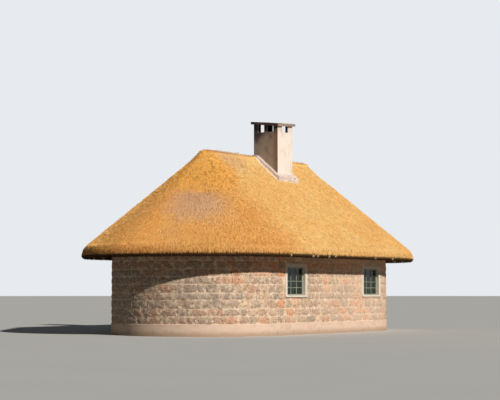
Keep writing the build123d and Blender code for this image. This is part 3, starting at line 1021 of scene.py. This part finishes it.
def window_bars(x, front, back):
    """Bars of one window, between two depths: two upright and three across."""
    low, high = FRAMES_LOW[2] + FRAME_FACE, FRAMES_HIGH[2] - FRAME_FACE
    half = WINDOW_WIDTH / 2 - FRAME_FACE
    bars = []
    for i in (1, 2):
        place = x - half + 2 * half * i / 3
        bars.append(beam((place - UPRIGHT_HALF, front, low),
                         (place + UPRIGHT_HALF, back, high), BAR_EASE))
    for i in (1, 2, 3):
        height = low + (high - low) * i / 4
        bars.append(beam((x - half, front + 0.003, height - CROSS_HALF),
                         (x + half, back - 0.003, height + CROSS_HALF), BAR_EASE))
    return bars


def glazing_bars(material):
    """Three by four panes: thin bars on both faces of each window's glass."""
    glass_low, glass_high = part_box("window_glass_front")
    pieces = []
    for x in WINDOW_CENTRES:
        pieces += window_bars(x, glass_low[1] - 0.016, glass_high[1] + 0.012)
    bars = join(pieces, "glazing_bars_front")
    other = copy_of(bars, Matrix())
    other.name = "glazing_bars_back"
    select_only(other)
    bpy.ops.object.mode_set(mode="EDIT")
    bpy.ops.mesh.select_all(action="SELECT")
    bpy.ops.transform.mirror(constraint_axis=(False, True, False), orient_type="GLOBAL",
                             center_override=(0, 0, 0))
    bpy.ops.mesh.normals_make_consistent(inside=False)
    bpy.ops.object.mode_set(mode="OBJECT")
    for piece in (bars, other):
        add_piece(piece, material)


BOARDS = 6
LEDGE_HEIGHTS = (0.25, 1.0, 1.72)
LEDGE_RISE = 0.12
BOARD_EASE = 0.004


def boarded_door(material, metal):
    """Upright boards on three ledges, with a latch and its knob outside."""
    low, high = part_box("door_leaf")
    board = (high[0] - low[0]) / BOARDS
    pieces = []
    for i in range(BOARDS):
        left = low[0] + i * board
        pieces.append(beam((left + 0.002, low[1] + 0.012, low[2] + 0.004),
                           (left + board - 0.002, high[1], high[2] - 0.004), BOARD_EASE))
    for height in LEDGE_HEIGHTS:
        base = low[2] + height
        pieces.append(beam((low[0] + 0.03, low[1], base),
                           (high[0] - 0.03, low[1] + 0.02, base + LEDGE_RISE), BOARD_EASE))
    door = join(pieces, "boarded_door")
    add_piece(door, material)
    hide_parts("door_leaf")
    latch = beam((high[0] - 0.10, high[1], low[2] + 0.95),
                 (high[0] - 0.06, high[1] + 0.012, low[2] + 1.12), 0.003)
    knob = beam((high[0] - 0.095, high[1] + 0.01, low[2] + 1.02),
                (high[0] - 0.065, high[1] + 0.05, low[2] + 1.05), 0.006)
    add_piece(join([latch, knob], "door_latch"), metal)


# Scene

def stage_finish():
    """Grey floor that looks pale to the camera and throws back less light."""
    m = Finish("studio_floor")
    seen = m.add("ShaderNodeLightPath", output="Is Camera Ray")
    pale = m.mix(m.noise(0.4, 2.0), srgb(216, 216, 214), srgb(222, 222, 220))
    return m.finish(m.mix(seen, srgb(150, 150, 146), pale), 0.95, Specular_IOR_Level=0.0)


def build_stage():
    clear_selection()
    bpy.ops.mesh.primitive_circle_add(vertices=96, radius=400.0, fill_type="NGON")
    floor = bpy.context.object
    floor.name = "studio_floor"
    dress(floor, stage_finish())


def backdrop(graph, colour, strength):
    inputs = {"Color": opaque(colour), "Strength": strength}
    return graph.add("ShaderNodeBackground", inputs=inputs)


def build_world():
    """A weak blue fill on the hut, and a pale sky where it is looked at directly."""
    bpy.context.scene.view_settings.view_transform = "Standard"
    world = bpy.data.worlds.new("studio")
    bpy.context.scene.world = world
    world.use_nodes = True
    world.node_tree.nodes.clear()
    g = Graph(world.node_tree)
    rays = g.add("ShaderNodeLightPath", output="Is Camera Ray")
    glossy = Term(g, rays.socket.node.outputs["Is Glossy Ray"])
    through = Term(g, rays.socket.node.outputs["Is Transmission Ray"])
    seen = rays.max(glossy).max(through)
    fill = backdrop(g, (0.85, 0.92, 1.0), 0.07)
    plain = backdrop(g, (0.80, 0.83, 0.86), 1.0)
    mixed = g.add("ShaderNodeMixShader", inputs={0: seen, 1: fill, 2: plain})
    g.add("ShaderNodeOutputWorld", inputs={0: mixed})


def build_lights():
    """One warm sun, 28 degrees up, over the viewer's right shoulder."""
    sun = bpy.data.lights.new("key", "SUN")
    sun.energy = 3.25
    sun.angle = math.radians(1.2)
    sun.color = (1.0, 0.96, 0.89)
    lamp = bpy.data.objects.new("key", sun)
    bpy.context.collection.objects.link(lamp)
    direction = Vector((0.26, 0.965, -math.tan(math.radians(28.0))))
    lamp.rotation_euler = direction.to_track_quat("-Z", "Y").to_euler()


def build_camera():
    """Eye level, in front of the left end, looking slightly up."""
    data = bpy.data.cameras.new("view")
    data.lens = 103.62
    data.sensor_width = 36.0
    data.clip_end = 1000.0
    camera = bpy.data.objects.new("view", data)
    bpy.context.collection.objects.link(camera)
    camera.location = (-46.159, -30.863, 1.565)
    camera.rotation_euler = (math.radians(90.0 + 3.618), 0.0, math.radians(-56.0))
    bpy.context.scene.camera = camera


def dress_nodes():
    """Give every carried-over node the finish whose name it starts with, the longest first."""
    mortar = mortar_finish()
    plaster = plaster_finish("white_plaster", srgb(238, 228, 214), srgb(206, 186, 164))
    plinth = plaster_finish("plinth_plaster", srgb(240, 210, 188), srgb(208, 174, 150), 0.25)
    poles = wood_finish("peeled_poles", srgb(232, 208, 170), srgb(168, 136, 98))
    door = wood_finish("door_timber", srgb(136, 104, 74), srgb(80, 58, 42))
    finishes = {
        "wall_plate": poles, "wall": mortar, "plinth": plinth, "window_surrounds": plaster,
        "window_sills": plaster, "door_surround": plaster, "door_steps": plinth,
        "window_frames": paint_finish(), "window_glass": glass_finish(), "door_frame": door,
        "door_leaf": door, "rafters": poles, "ridge_pole": poles, "apex_bosses": poles,
        "thatch": bpy.data.materials["reed"], "floor_base": floor_finish(),
        "chimney_stack": chimney_finish(), "chimney_cap": slab_finish(),
        "chimney_flaunching": cement_finish(),
    }
    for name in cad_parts:
        key = max((k for k in finishes if name.startswith(k)), key=len)
        dress_node(bpy.data.objects[name], finishes[key])
    return finishes


def dress_node(item, material):
    if not item.material_slots:
        item.data.materials.append(material)
    for slot in item.material_slots:
        slot.material = material


reed = thatch_finish("reed")
loose_straw = thatch_finish("loose_straw", straw=True)
finishes = dress_nodes()
build_stones(stone_finish())
build_thatch(reed, loose_straw)
build_pole_ends(finishes["rafters"])
glazing_bars(finishes["window_frames"])
boarded_door(finishes["door_leaf"], finishes["window_frames"])
build_stage()
build_world()
build_lights()
build_camera()
